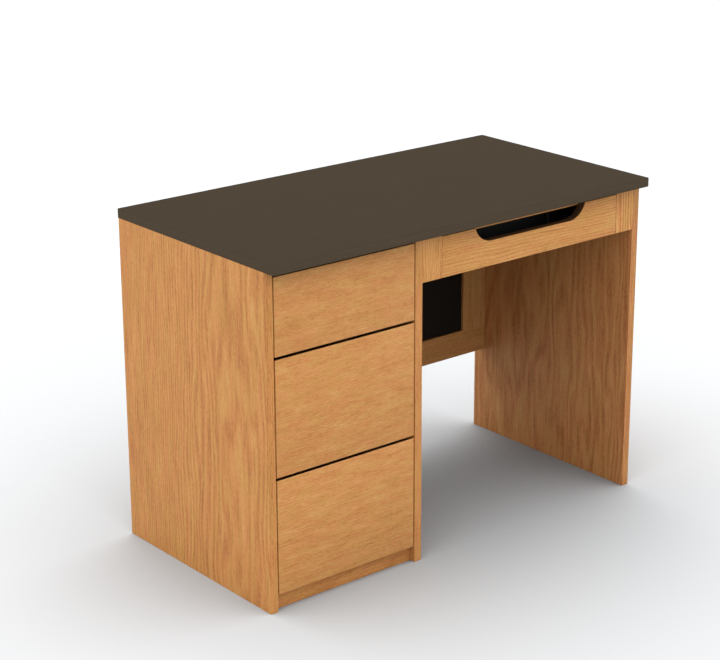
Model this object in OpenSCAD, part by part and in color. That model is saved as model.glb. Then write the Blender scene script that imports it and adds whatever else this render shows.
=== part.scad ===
// Single-pedestal teacher's desk. Three drawers in the pedestal, a pencil drawer over the
// kneehole and a framed modesty panel at the back. Every board is a piece of its own.
// Millimetres. +X runs along the desk away from the pedestal, the user sits at -Y, +Z is up.
// The origin is on the floor, under the middle of the desktop.

/* [Overall] */
// Length of the desktop
desk_w = 1050; // [900:10:1500]
// Depth of the desktop
desk_d = 550; // [460:10:800]
// Height of the desktop's upper face
desk_h = 750; // [620:5:900]

/* [Boards] */
// Thickness of the veneered boards
board_t = 19; // [16:0.5:24]
// Thickness of the desktop with its sheets
top_t = 20; // [18:0.5:30]
// Thickness of the laminate and of the backing sheet
laminate_t = 0.8; // [0.6:0.1:1.5]
// Thickness of the desktop's edge band
edge_t = 2; // [1:0.5:3]
// How far the desktop stands out in front of the drawer fronts
overhang_front = 29; // [5:1:60]
// How far the desktop stands out behind the side panels
overhang_back = 4; // [0:1:40]

/* [Pedestal] */
// Outer width of the pedestal
pedestal_w = 405; // [340:5:500]
// Height of the kick board
kick_h = 35; // [25:1:90]
// How far the kick board stands back from the drawer fronts
kick_inset = 14; // [5:1:60]
// Gap between the kick board and the lowest drawer front
kick_gap = 3; // [2:0.5:6]
// Height of the top drawer's front
top_front_h = 166; // [130:1:200]
// Gap between one drawer front and the next
front_gap = 5.5; // [2:0.5:8]
// How far a drawer front's top edge slopes down towards the back, as a grip for the fingers
front_bevel = 11; // [2:0.5:15]
// Gap between a drawer front and the panel beside it
side_gap = 3; // [1.5:0.5:5]
// Finger gap between the upper drawer fronts and the desktop
finger_gap = 12.5; // [8:0.5:25]
// Depth of the rail across the top of the pedestal
top_rail_d = 80; // [50:5:120]
// Room for the fingertips between the top drawer's front and that rail
finger_room = 24; // [15:1:50]

/* [Drawer boxes] */
// Thickness of a drawer box's sides, back and inner front
box_t = 12; // [9:0.5:16]
// Thickness of a drawer's bottom
bottom_t = 6; // [3:0.5:9]
// Depth of the groove that holds the bottom
groove_d = 6; // [3:0.5:8]
// Height of the bottom above the box's lower edge
bottom_rise = 10; // [6:1:20]
// Height of the box above the lower edge of its front
box_rise = 24; // [20:1:40]
// Room between the top of the box and the top of its front
box_head = 35; // [25:1:60]
// Height of a slide's centre line above the box's lower edge
slide_rise = 48; // [30:1:60]

/* [Slides] */
// Thickness of a slide, from the panel to the drawer box
slide_t = 12.7; // [12:0.1:14]
// Height of a pedestal drawer's slide
slide_h = 45; // [35:1:53]
// Height of the pencil drawer's slide
pencil_slide_h = 35; // [30:1:40]
// Thickness of the slides' steel
steel_t = 1.2; // [1:0.1:1.5]
// Clearance between the members of a slide
member_gap = 0.6; // [0.3:0.1:1]
// How far the pencil drawer opens
pencil_travel = 250; // [150:10:300]

/* [Pencil drawer] */
// Width of the fixed stile at each side of the pencil drawer
filler_w = 53; // [30:1:80]
// Height of the pencil drawer's front
pencil_front_h = 90; // [75:1:110]
// Gap between the pencil drawer's front and the stiles
pencil_gap = 1; // [0.5:0.5:3]
// Width of the straight part of the hand scoop
scoop_flat_w = 231; // [80:1:300]
// Depth of the hand scoop below the top of the front
scoop_depth = 34.5; // [20:0.5:45]
// Radius of the hand scoop's ends
scoop_r = 50; // [35:1:60]
// How far the scoop's middle lies from the front's middle
scoop_shift = -3; // [-20:1:20]
// Height of the rail behind the pencil drawer's front
knee_rail_h = 22; // [19:1:28]
// Gap between a drawer front and what stands behind it
behind_gap = 1.5; // [1:0.5:4]
// Height of the boards that carry the pencil drawer's slides
runner_h = 90; // [85:1:110]
// Height of the tray
tray_h = 48; // [40:1:52]
// Wall thickness of the tray
tray_wall = 2.5; // [2:0.5:4]
// Height of the tray above the lower edge of its front
tray_rise = 5; // [3:1:12]
// Width of each clip bin at the ends of the tray
bin_w = 100; // [60:5:120]
// Front-to-back size of the bins and the pencil trough
trough_d = 75; // [60:5:110]

/* [Modesty frame] */
// Width of the upright stiles
stile_w = 73; // [40:1:100]
// Height of the rails
rail_h = 63; // [40:1:100]
// Height of the lower rail's underside above the floor
rail_z = 212.5; // [150:0.5:300]
// How far the frame stands in from the rear edges of the panels
frame_setback = 16; // [0:1:40]
// Thickness of the black panel
panel_t = 6; // [4:0.5:9]
// Depth of the groove that holds the black panel
panel_groove = 8; // [5:1:12]

/* [Hardware] */
// Length of each leg of a top bracket
bracket_leg = 25; // [20:1:30]
// Width of a top bracket
bracket_w = 20; // [15:1:30]
// Thickness of a top bracket
bracket_t = 2; // [1.5:0.5:3]
// Radius of a wood screw
screw_r = 1.75; // [1.5:0.05:2.5]
// Length of a wood screw in the wood behind it
screw_bite = 12; // [8:1:13]
// Radius of a wood screw's head
head_r = 3.5; // [3:0.1:4.5]
// Radius of a connector cam
cam_r = 7.5; // [6:0.5:8]
// Radius of a connector bolt
bolt_r = 3; // [2.5:0.25:4]
// Depth of a connector bolt in the panel
bolt_bite = 11; // [8:1:13]
// Distance from a board's end to the cam's centre
cam_reach = 34; // [24:1:40]
// Radius of a push latch's barrel
latch_r = 7; // [6:0.5:9]
// Radius of the latch's bore
latch_bore_r = 5; // [4:0.25:5.5]
// How far the plunger stands out of its barrel
latch_reach = 12; // [8:1:16]

/* [Hidden] */
$fn = 48;
cut = 1;                        // how far a cutter runs past a face
slide_step = 50;                // slides come in lengths 50 mm apart
slide_back_room = 60;           // least room behind a pedestal drawer, for its push latch
pencil_back_room = 100;         // least room behind the pencil tray, for cables
head_h = 1.2;                   // height of a screw's head
lip = 2;                        // how far a slide member's lip turns in
outer_depth = 9.6;              // depth of a slide's cabinet member
latch_gap = 0.5;                // between a plunger and the drawer's back
latch_fit = 0.08;               // radial clearance of a plunger in its bore
latch_spring = 10;              // room for the spring behind a plunger
latch_tip = 3;                  // thickness of a plunger's tip
flange_t = 2.4;                 // thickness of a latch barrel's flange

x_left = -desk_w / 2;
x_right = desk_w / 2;
y_edge = -desk_d / 2;
y_rear = desk_d / 2 - overhang_back;
under = desk_h - top_t;                          // the desktop's underside
front_y = y_edge + overhang_front;               // outer face of every front
inside_y = front_y + board_t;                    // inner face of every front
ped = [x_left + board_t, x_left + pedestal_w - board_t];
knee = [x_left + pedestal_w, x_right - board_t];
frame_y = [y_rear - frame_setback - board_t, y_rear - frame_setback];
room_d = frame_y[0] - inside_y;                  // clear depth behind the fronts
floor_z = kick_h + board_t;                      // upper face of the pedestal's bottom

// drawer fronts, from the top drawer down: [lower edge, upper edge]
front_top = under - finger_gap;
front_low = kick_h + kick_gap;
deep_front_h = (front_top - front_low - top_front_h - 2 * front_gap) / 2;
fronts = [
    [front_top - top_front_h, front_top],
    [front_low + deep_front_h + front_gap, front_low + 2 * deep_front_h + front_gap],
    [front_low, front_low + deep_front_h]
];
slide_len = slide_step * floor((room_d - slide_back_room) / slide_step);
box_x = [ped[0] + slide_t, ped[1] - slide_t];
box_y = [inside_y, inside_y + slide_len];

// push latches, on the pedestal's back
barrel_y = box_y[1] + latch_gap + latch_reach;
barrel_len = frame_y[0] - barrel_y;
bore_len = barrel_len - latch_r;
tail_len = bore_len - latch_spring;

// pencil drawer
pen = [knee[0] + filler_w, knee[1] - filler_w];
pen_z = [front_top - pencil_front_h, front_top];
pencil_slide_len = slide_step * floor((room_d - pencil_back_room) / slide_step);
tray_x = [pen[0] + slide_t, pen[1] - slide_t];
tray_y = [inside_y, inside_y + pencil_slide_len];
tray_z = [pen_z[0] + tray_rise, pen_z[0] + tray_rise + tray_h];
runner_y = [inside_y, tray_y[1] + slide_step];
pencil_slide_z = tray_z[0] + tray_h / 2 + lip;

// modesty frame
panel_y = [(frame_y[0] + frame_y[1] - panel_t) / 2, (frame_y[0] + frame_y[1] + panel_t) / 2];
frame_z = [rail_z, rail_z + rail_h, under - rail_h, under];

// cam connectors: [panel face, direction into the board, y, z, cam axis, cam's face]
frame_mid = (frame_y[0] + frame_y[1]) / 2;
joint_z = kick_h + board_t / 2;
kick_mid = front_y + kick_inset + board_t / 2;
rail_mid = inside_y + finger_room + top_rail_d / 2;
connectors = [
    for (side = [[ped[0], 1], [ped[1], -1]]) each [
        [side[0], side[1], -room_d / 3, joint_z, "z", -1],
        [side[0], side[1], room_d / 3, joint_z, "z", -1],
        [side[0], side[1], rail_mid, under - board_t / 2, "z", -1],
        [side[0], side[1], kick_mid, kick_h / 2, "y", 1],
        [side[0], side[1], frame_mid, desk_h / 6, "y", -1],
        [side[0], side[1], frame_mid, desk_h * 5 / 6, "y", -1]
    ],
    for (side = [[knee[0], 1], [knee[1], -1]]) each [
        [side[0], side[1], frame_mid, rail_z + rail_h / 2, "y", 1],
        [side[0], side[1], frame_mid, under - rail_h / 2, "y", 1]
    ]
];

// steel brackets under the desktop: [panel face, direction away from the panel, y]
bracket_spots = [
    for (s = [[ped[0], 1], [ped[1], -1]]) each [[s[0], s[1], room_d / 8], [s[0], s[1], room_d / 3]],
    for (s = [[knee[0], 1], [knee[1], -1]]) each [[s[0], s[1], -room_d / 3], [s[0], s[1], room_d / 4]],
    for (s = [[pen[0] - board_t, -1], [pen[1] + board_t, 1]]) each
        [[s[0], s[1], -room_d / 6], [s[0], s[1], 0]]
];
bracket_hole = bracket_leg * 0.62;

function box_z(n) = [fronts[n - 1][0] + box_rise, fronts[n - 1][1] - box_head];
function slide_z(n) = box_z(n)[0] + slide_rise;
function mid(range) = (range[0] + range[1]) / 2;

// A board given by its limits along X, Y and Z
module board(x, y, z) {
    translate([x[0], y[0], z[0]])
        cube([x[1] - x[0], y[1] - y[0], z[1] - z[0]]);
}

// The two hands of a pair: children face +X from the low face and -X from the high one
module pair(x, y, z) {
    translate([x[0], y, z]) children();
    translate([x[1], y, z]) mirror([1, 0, 0]) children();
}

// A pan-head screw with its head's underside at z = 0 and its shank up +Z
module screw(grip, head = true) {
    cylinder(h = grip, r = screw_r);
    if (head) translate([0, 0, -head_h]) cylinder(h = head_h, r = head_r);
}

// ---- slides: x runs from the cabinet face to the drawer, y along the slide, z is centred ----

module channel(x_web, x_lip, half_h, length, lips) {
    translate([x_web, 0, -half_h])
        cube([steel_t, length, 2 * half_h]);
    for (s = [0, 1]) mirror([0, 0, s]) {
        translate([min(x_web, x_lip), 0, half_h - steel_t])
            cube([abs(x_lip - x_web), length, steel_t]);
        if (lips)
            translate([x_lip - steel_t, 0, half_h - steel_t - lip])
                cube([steel_t, length, lip + steel_t]);
    }
}

function middle_half(h) = h / 2 - steel_t - lip - member_gap;
function inner_half(h) = middle_half(h) - steel_t - lip - member_gap;

module slide_hole_row(length) {
    for (k = [0.1, 0.5, 0.9]) translate([0, length * k, 0]) children();
}

module outer_member(length, h) {
    difference() {
        channel(0, outer_depth, h / 2, length, true);
        slide_hole_row(length)
            rotate([0, 90, 0]) translate([0, 0, -cut]) cylinder(h = steel_t + 2 * cut, r = screw_r);
    }
}

module middle_member(length, h) {
    channel(steel_t + 2, outer_depth - member_gap, middle_half(h), length, true);
}

module inner_member(length, half_h, reach) {
    difference() {
        union() {
            translate([slide_t - steel_t, 0, -half_h]) cube([steel_t, length, 2 * half_h]);
            for (s = [0, 1]) mirror([0, 0, s])
                translate([slide_t - reach, 0, half_h - steel_t]) cube([reach, length, steel_t]);
        }
        slide_hole_row(length)
            rotate([0, 90, 0]) translate([0, 0, slide_t - steel_t - cut])
                cylinder(h = steel_t + 2 * cut, r = screw_r);
    }
}

// Screws from the cabinet member into the panel, and from the drawer member into the box
module outer_screws(length, head = true) {
    slide_hole_row(length)
        translate([steel_t, 0, 0]) rotate([0, -90, 0]) screw(screw_bite + steel_t, head);
}

module inner_screws(length, bite, head = true) {
    slide_hole_row(length)
        translate([slide_t - steel_t, 0, 0]) rotate([0, 90, 0]) screw(bite + steel_t, head);
}

module pedestal_outer_screws(head = true) {
    for (n = [1 : 3])
        pair(ped, box_y[0], slide_z(n)) outer_screws(slide_len, head);
}

module pencil_outer_screws(head = true) {
    pair(pen, tray_y[0], pencil_slide_z) outer_screws(pencil_slide_len, head);
}

// ---- cam connectors, seen from the panel's face with the board along +X ----

module at_connectors() {
    for (c = connectors)
        translate([c[0], c[2], c[3]]) mirror([c[1] < 0 ? 1 : 0, 0, 0])
            rotate([c[4] == "y" ? -90 : 0, 0, 0]) mirror([0, 0, c[5] < 0 ? 1 : 0]) children();
}

module bolt() {
    translate([-bolt_bite, 0, 0]) rotate([0, 90, 0]) cylinder(h = bolt_bite + cam_reach - cam_r, r = bolt_r);
}

module cam_body() {
    cam_h = board_t / 2 + bolt_r;
    translate([cam_reach, 0, -bolt_r]) cylinder(h = cam_h, r = cam_r);
}

module cam_holes() {
    at_connectors() {
        bolt();
        cam_body();
    }
}

module bolt_holes() {
    at_connectors() bolt();
}

// ---- brackets and screws under the desktop ----

module at_brackets() {
    for (s = bracket_spots)
        translate([s[0], s[2], under]) mirror([s[1] < 0 ? 1 : 0, 0, 0]) children();
}

module bracket() {
    difference() {
        union() {
            translate([0, -bracket_w / 2, -bracket_leg]) cube([bracket_t, bracket_w, bracket_leg]);
            translate([0, -bracket_w / 2, -bracket_t]) cube([bracket_leg, bracket_w, bracket_t]);
        }
        bracket_screws(false);
    }
}

module bracket_screws(head = true) {
    translate([bracket_t, 0, -bracket_hole]) rotate([0, -90, 0]) screw(bracket_t + screw_bite, head);
    translate([bracket_hole, 0, -bracket_t]) screw(bracket_t + screw_bite, head);
}

module rail_screws(head = true) {
    for (x = [ped[0] + pedestal_w / 4, ped[1] - pedestal_w / 4])
        translate([x, rail_mid, under - board_t]) screw(board_t + screw_bite, head);
    for (x = [pen[0] + filler_w, pen[1] - filler_w])
        translate([x, inside_y + behind_gap + board_t / 2, under - knee_rail_h])
            screw(knee_rail_h + screw_bite, head);
}

module top_screws(head = true) {
    at_brackets() bracket_screws(head);
    rail_screws(head);
}

// ---- desktop ----

module desktop_core() {
    color("peru") difference() {
        board([x_left + edge_t, x_right - edge_t], [y_edge + edge_t, -y_edge - edge_t],
              [under + laminate_t, desk_h - laminate_t]);
        top_screws(false);
    }
}

module desktop_laminate() {
    color("#51473b") {
        board([x_left + edge_t, x_right - edge_t], [y_edge + edge_t, -y_edge - edge_t],
              [desk_h - laminate_t, desk_h]);
        difference() {
            board([x_left + edge_t, x_right - edge_t], [y_edge + edge_t, -y_edge - edge_t],
                  [under, under + laminate_t]);
            top_screws(false);
        }
    }
}

module desktop_edge_band() {
    color("#4d4338") difference() {
        board([x_left, x_right], [y_edge, -y_edge], [under, desk_h]);
        board([x_left + edge_t, x_right - edge_t], [y_edge + edge_t, -y_edge - edge_t],
              [under - cut, desk_h + cut]);
    }
}

// ---- panels ----

module upright(x) {
    difference() {
        board(x, [front_y, y_rear], [0, under]);
        bolt_holes();
        at_brackets() bracket_screws(false);
        pedestal_outer_screws(false);
    }
}

module left_side_panel() {
    color("#cb8f58") upright([x_left, ped[0]]);
}

module pedestal_inner_panel() {
    color("#c88f58") upright([ped[1], knee[0]]);
}

module right_end_panel() {
    color("#c88f58") upright([knee[1], x_right]);
}

module pedestal_bottom() {
    color("burlywood") difference() {
        board(ped, [inside_y + behind_gap, frame_y[0]], [kick_h, floor_z]);
        cam_holes();
    }
}

module kick_board() {
    color("#a56e41") difference() {
        board(ped, [front_y + kick_inset, front_y + kick_inset + board_t], [0, kick_h]);
        cam_holes();
    }
}

module pedestal_back() {
    color("burlywood") difference() {
        board(ped, frame_y, [0, under]);
        cam_holes();
    }
}

module pedestal_top_rail() {
    color("burlywood") difference() {
        board(ped, [rail_mid - top_rail_d / 2, rail_mid + top_rail_d / 2], [under - board_t, under]);
        cam_holes();
        rail_screws(false);
    }
}

module left_filler_stile() {
    color("#c28856") board([knee[0], pen[0]], [front_y, inside_y], [pen_z[0], under]);
}

module right_filler_stile() {
    color("#c58852") board([pen[1], knee[1]], [front_y, inside_y], [pen_z[0], under]);
}

module kneehole_front_rail() {
    color("burlywood") difference() {
        board(pen, [inside_y + behind_gap, inside_y + behind_gap + board_t], [under - knee_rail_h, under]);
        rail_screws(false);
    }
}

module runner_board(x) {
    color("burlywood") difference() {
        board(x, runner_y, [under - runner_h, under]);
        at_brackets() bracket_screws(false);
        pencil_outer_screws(false);
    }
}

module left_runner_board() {
    runner_board([pen[0] - board_t, pen[0]]);
}

module right_runner_board() {
    runner_board([pen[1], pen[1] + board_t]);
}

// ---- modesty frame ----

module modesty_sheet() {
    board([knee[0] + stile_w - panel_groove, knee[1] - stile_w + panel_groove], panel_y,
          [frame_z[1] - panel_groove, frame_z[2] + panel_groove]);
}

module modesty_piece(x, z) {
    color("#b07a4a") difference() {
        board(x, frame_y, z);
        modesty_sheet();
        cam_holes();
    }
}

module modesty_left_stile() {
    modesty_piece([knee[0], knee[0] + stile_w], [frame_z[1], frame_z[2]]);
}

module modesty_right_stile() {
    modesty_piece([knee[1] - stile_w, knee[1]], [frame_z[1], frame_z[2]]);
}

module modesty_bottom_rail() {
    modesty_piece(knee, [frame_z[0], frame_z[1]]);
}

module modesty_top_rail() {
    modesty_piece(knee, [frame_z[2], frame_z[3]]);
}

module modesty_panel() {
    color("#1a1613") modesty_sheet();
}

// ---- hardware on the frame ----

module top_brackets() {
    color("silver") at_brackets() bracket();
}

module wood_screws() {
    color("gainsboro") {
        top_screws();
        pedestal_outer_screws();
        pencil_outer_screws();
    }
}

module connector_cams() {
    color("darkgray") at_connectors() difference() {
        cam_body();
        translate([cam_reach, 0, board_t / 2]) cube([cam_r * 1.4, bolt_r / 2, bolt_r], center = true);
        translate([cam_reach, 0, board_t / 2]) cube([bolt_r / 2, cam_r * 1.4, bolt_r], center = true);
    }
}

module connector_bolts() {
    color("gray") at_connectors() bolt();
}

module pedestal_slide_outer() {
    color("lightsteelblue") for (n = [1 : 3])
        pair(ped, box_y[0], slide_z(n)) outer_member(slide_len, slide_h);
}

module pencil_slide_outer() {
    color("lightsteelblue") pair(pen, tray_y[0], pencil_slide_z)
        outer_member(pencil_slide_len, pencil_slide_h);
}

// ---- push latches on the pedestal's back, for the two drawers that have no finger gap ----

module push_latch_barrels() {
    color("dimgray") for (n = [2, 3])
        translate([mid(ped), barrel_y, mid(box_z(n))]) rotate([-90, 0, 0]) difference() {
            union() {
                cylinder(h = barrel_len, r = latch_r);
                translate([0, 0, barrel_len - flange_t]) cylinder(h = flange_t, r = 2 * latch_r);
            }
            translate([0, 0, -cut]) cylinder(h = bore_len + cut, r = latch_bore_r);
        }
}

module plunger(n) {
    color("whitesmoke") translate([mid(ped), barrel_y, mid(box_z(n))]) rotate([90, 0, 0]) {
        translate([0, 0, -tail_len]) cylinder(h = tail_len + latch_reach, r = latch_bore_r - latch_fit);
        translate([0, 0, latch_reach - latch_tip]) cylinder(h = latch_tip, r = latch_bore_r + 1);
    }
}

module drawer_2_plunger() {
    plunger(2);
}

module drawer_3_plunger() {
    plunger(3);
}

// ---- pedestal drawers ----

// A drawer front: a flat board whose top edge is bevelled down from the face to the back
module drawer_front(n) {
    z = fronts[n - 1];
    profile = [[front_y, z[0]], [inside_y, z[0]], [inside_y, z[1] - front_bevel], [front_y, z[1]]];
    color("#c88f58") difference() {
        translate([ped[0] + side_gap, 0, 0]) rotate([90, 0, 90])
            linear_extrude(ped[1] - ped[0] - 2 * side_gap) polygon(profile);
        front_screws(n, false);
    }
}

module front_screws(n, head = true) {
    for (x = [box_x[0] + pedestal_w / 8, box_x[1] - pedestal_w / 8], k = [0.25, 0.75])
        translate([x, inside_y + box_t, box_z(n)[0] * (1 - k) + box_z(n)[1] * k])
            rotate([90, 0, 0]) screw(box_t + screw_bite, head);
}

module drawer_sheet(n) {
    base = box_z(n)[0] + bottom_rise;
    board([box_x[0] + groove_d, box_x[1] - groove_d], [box_y[0] + groove_d, box_y[1] - groove_d],
          [base, base + bottom_t]);
}

module drawer_side(n, x) {
    color("wheat") difference() {
        board(x, box_y, box_z(n));
        drawer_sheet(n);
        drawer_slide_screws(n, false);
    }
}

module drawer_slide_screws(n, head = true) {
    pair(ped, box_y[0], slide_z(n)) inner_screws(slide_len, box_t * 3 / 4, head);
}

module drawer_end(n, y) {
    color("wheat") difference() {
        board([box_x[0] + box_t, box_x[1] - box_t], y, box_z(n));
        drawer_sheet(n);
        front_screws(n, false);
    }
}

module drawer_bottom(n) {
    color("tan") drawer_sheet(n);
}

module drawer_slide_inner(n) {
    half = inner_half(slide_h);
    color("lightsteelblue") pair(ped, box_y[0], slide_z(n))
        inner_member(slide_len, half, slide_t - 2 * steel_t - 2 - member_gap * 2);
}

module drawer_slide_middle(n) {
    color("lightsteelblue") pair(ped, box_y[0], slide_z(n)) middle_member(slide_len, slide_h);
}

module drawer_screws(n) {
    color("gainsboro") {
        front_screws(n);
        drawer_slide_screws(n);
    }
}

// ---- pencil drawer ----

module scoop_outline() {
    rise = scoop_r - scoop_depth;
    end_x = scoop_flat_w / 2;
    top_x = end_x + sqrt(scoop_r * scoop_r - rise * rise);
    polygon([
        for (a = [0 : 5 : 90 - asin(rise / scoop_r)]) [end_x + scoop_r * sin(a), rise - scoop_r * cos(a)],
        [top_x, 0],
        [top_x, cut],
        [-top_x, cut],
        [-top_x, 0],
        for (a = [90 - asin(rise / scoop_r) : -5 : 0]) [-end_x - scoop_r * sin(a), rise - scoop_r * cos(a)]
    ]);
}

module pencil_front() {
    color("#c58c57") difference() {
        board([pen[0] + pencil_gap, pen[1] - pencil_gap], [front_y, inside_y], pen_z);
        translate([mid(pen) + scoop_shift, inside_y + cut, pen_z[1]]) rotate([90, 0, 0])
            linear_extrude(board_t + 2 * cut) scoop_outline();
        tray_front_screws(false);
    }
}

module tray_front_screws(head = true) {
    for (x = [tray_x[0] + bin_w / 2, mid(tray_x), tray_x[1] - bin_w / 2])
        translate([x, inside_y + tray_wall, mid(tray_z)]) rotate([90, 0, 0])
            screw(tray_wall + screw_bite, head);
}

module tray_slide_screws(head = true) {
    pair(pen, tray_y[0], pencil_slide_z) inner_screws(pencil_slide_len, tray_wall, head);
}

module pencil_tray() {
    deep = [tray_z[0] + tray_wall, tray_z[1] + cut];
    front_cells = [tray_y[0] + tray_wall, tray_y[0] + tray_wall + trough_d];
    bins = [tray_x[0] + tray_wall + bin_w, tray_x[1] - tray_wall - bin_w];
    color("#1c1a18") difference() {
        board(tray_x, tray_y, tray_z);
        board([tray_x[0] + tray_wall, bins[0]], front_cells, deep);
        board([bins[0] + tray_wall, bins[1] - tray_wall], front_cells, deep);
        board([bins[1], tray_x[1] - tray_wall], front_cells, deep);
        board([tray_x[0] + tray_wall, tray_x[1] - tray_wall],
              [front_cells[1] + tray_wall, tray_y[1] - tray_wall], deep);
        tray_front_screws(false);
        tray_slide_screws(false);
    }
}

module pencil_slide_inner() {
    color("lightsteelblue") pair(pen, tray_y[0], pencil_slide_z)
        inner_member(pencil_slide_len, middle_half(pencil_slide_h), slide_t - 2 * steel_t - member_gap);
}

module pencil_screws() {
    color("gainsboro") {
        tray_front_screws();
        tray_slide_screws();
    }
}

desktop_core();
desktop_laminate();
desktop_edge_band();
left_side_panel();
pedestal_inner_panel();
right_end_panel();
pedestal_bottom();
kick_board();
pedestal_back();
pedestal_top_rail();
left_filler_stile();
right_filler_stile();
kneehole_front_rail();
left_runner_board();
right_runner_board();
modesty_left_stile();
modesty_right_stile();
modesty_bottom_rail();
modesty_top_rail();
modesty_panel();
top_brackets();
wood_screws();
connector_cams();
connector_bolts();
pedestal_slide_outer();
pencil_slide_outer();
push_latch_barrels();
for (n = [1 : 3]) {
    drawer_front(n);
    drawer_side(n, [box_x[0], box_x[0] + box_t]);
    drawer_side(n, [box_x[1] - box_t, box_x[1]]);
    drawer_end(n, [box_y[0], box_y[0] + box_t]);
    drawer_end(n, [box_y[1] - box_t, box_y[1]]);
    drawer_bottom(n);
    drawer_slide_inner(n);
    drawer_screws(n);
    drawer_slide_middle(n);
}
pencil_front();
pencil_tray();
pencil_slide_inner();
pencil_screws();
drawer_2_plunger();
drawer_3_plunger();
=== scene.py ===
import math

import bpy
import numpy as np
from mathutils import Matrix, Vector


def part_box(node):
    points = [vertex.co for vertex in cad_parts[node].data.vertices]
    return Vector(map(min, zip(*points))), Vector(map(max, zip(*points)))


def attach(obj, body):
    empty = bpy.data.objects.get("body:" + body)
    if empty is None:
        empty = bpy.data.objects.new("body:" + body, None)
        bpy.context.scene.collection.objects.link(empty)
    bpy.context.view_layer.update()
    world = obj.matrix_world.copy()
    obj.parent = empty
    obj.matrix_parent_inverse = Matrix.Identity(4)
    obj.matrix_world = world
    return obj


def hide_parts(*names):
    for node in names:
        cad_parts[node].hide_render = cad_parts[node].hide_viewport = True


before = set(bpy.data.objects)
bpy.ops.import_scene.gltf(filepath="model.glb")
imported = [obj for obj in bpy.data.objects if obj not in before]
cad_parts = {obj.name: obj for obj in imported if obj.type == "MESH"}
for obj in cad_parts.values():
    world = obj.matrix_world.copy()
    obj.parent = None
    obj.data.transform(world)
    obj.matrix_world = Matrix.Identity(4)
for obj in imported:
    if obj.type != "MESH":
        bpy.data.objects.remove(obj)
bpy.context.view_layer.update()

# ---- Viewpoint -----------------------------------------------------------------------------
# Someone standing off the desk's left front corner with a long lens, looking down on it.
# The small shift frames the desk a little right of and above the middle of the lens.
MM = 0.001
STANDPOINT = (-2688.07 * MM, -3189.22 * MM, 1860.45 * MM)
YAW, PITCH, ROLL = (math.radians(angle) for angle in (-39.400, -17.982, -0.219))

ahead = np.array([-math.sin(YAW) * math.cos(PITCH), math.cos(YAW) * math.cos(PITCH), math.sin(PITCH)])
level = np.array([math.cos(YAW), math.sin(YAW), 0.0])
upright = np.cross(level, ahead)
right = math.cos(ROLL) * level + math.sin(ROLL) * upright
up = -math.sin(ROLL) * level + math.cos(ROLL) * upright

camera = bpy.data.objects.new("camera", bpy.data.cameras.new("camera"))
turned = np.column_stack([right, up, -ahead])
camera.matrix_world = Matrix([[*row, place] for row, place in zip(turned, STANDPOINT)]
                             + [[0, 0, 0, 1]])
camera.data.lens = 99.07
camera.data.sensor_width = 36
camera.data.shift_x = -0.0088
camera.data.shift_y = -0.0429
camera.data.clip_end = 100
bpy.context.scene.collection.objects.link(camera)
bpy.context.scene.camera = camera

# ---- The three upright panels --------------------------------------------------------------
# 19 mm chipboard faced with sliced oak veneer, grain upright, and edged with an oak strip.
# Cut square, arrises eased with fine paper, then two thin coats of clear matt lacquer.
EASED = 0.8 * MM                         # radius of an arris eased by hand


def linear(code):
    """An sRGB hex colour as the linear red, green, blue and alpha of a shader socket."""
    channels = [int(code[i:i + 2], 16) / 255 for i in (1, 3, 5)]
    return [*(c / 12.92 if c <= 0.04045 else ((c + 0.055) / 1.055) ** 2.4 for c in channels), 1.0]


def add(tree, kind, sockets=None, ramp=None, **settings):
    """Adds a shader node. Settings are its own properties; sockets are its inputs by name or
    number, each a plain value, another node or one of that node's outputs."""
    node = tree.nodes.new("ShaderNode" + kind)
    for name, value in settings.items():
        setattr(node, name, value)
    for key, value in (sockets or {}).items():
        if isinstance(value, bpy.types.Node):
            value = value.outputs[0]
        if isinstance(value, bpy.types.NodeSocket):
            tree.links.new(value, node.inputs[key])
        else:
            node.inputs[key].default_value = value
    if ramp:
        elements = node.color_ramp.elements
        for _ in ramp[2:]:
            elements.new(0.5)
        for element, (position, code) in zip(elements, ramp):
            element.position = position
            element.color = linear(code)
    return node


def new_material(name):
    """An empty node material and its tree."""
    material = bpy.data.materials.new(name)
    material.use_nodes = True
    material.node_tree.nodes.clear()
    return material, material.node_tree


def board_frame(tree, grain, start):
    """Object coordinates put in the board's own order: X along the grain, Y across it and Z
    through the board. Grain names the three axes in that order, start is an offset in metres."""
    place = add(tree, "Mapping", {"Vector": add(tree, "TexCoord").outputs["Object"], "Location": start})
    axes = add(tree, "SeparateXYZ", {"Vector": place})
    return add(tree, "CombineXYZ", {i: axes.outputs["xyz".index(axis)] for i, axis in enumerate(grain)})


def streaks(tree, board, along, across, detail=2.0, roughness=0.5):
    """Noise in patches that many millimetres long with the grain and wide across it."""
    patch = (1000 / along, 1000 / across, 1000 / across)
    size = add(tree, "Mapping", {"Vector": board, "Scale": patch})
    return add(tree, "TexNoise", {"Vector": size, "Scale": 1.0, "Detail": detail, "Roughness": roughness})


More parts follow.
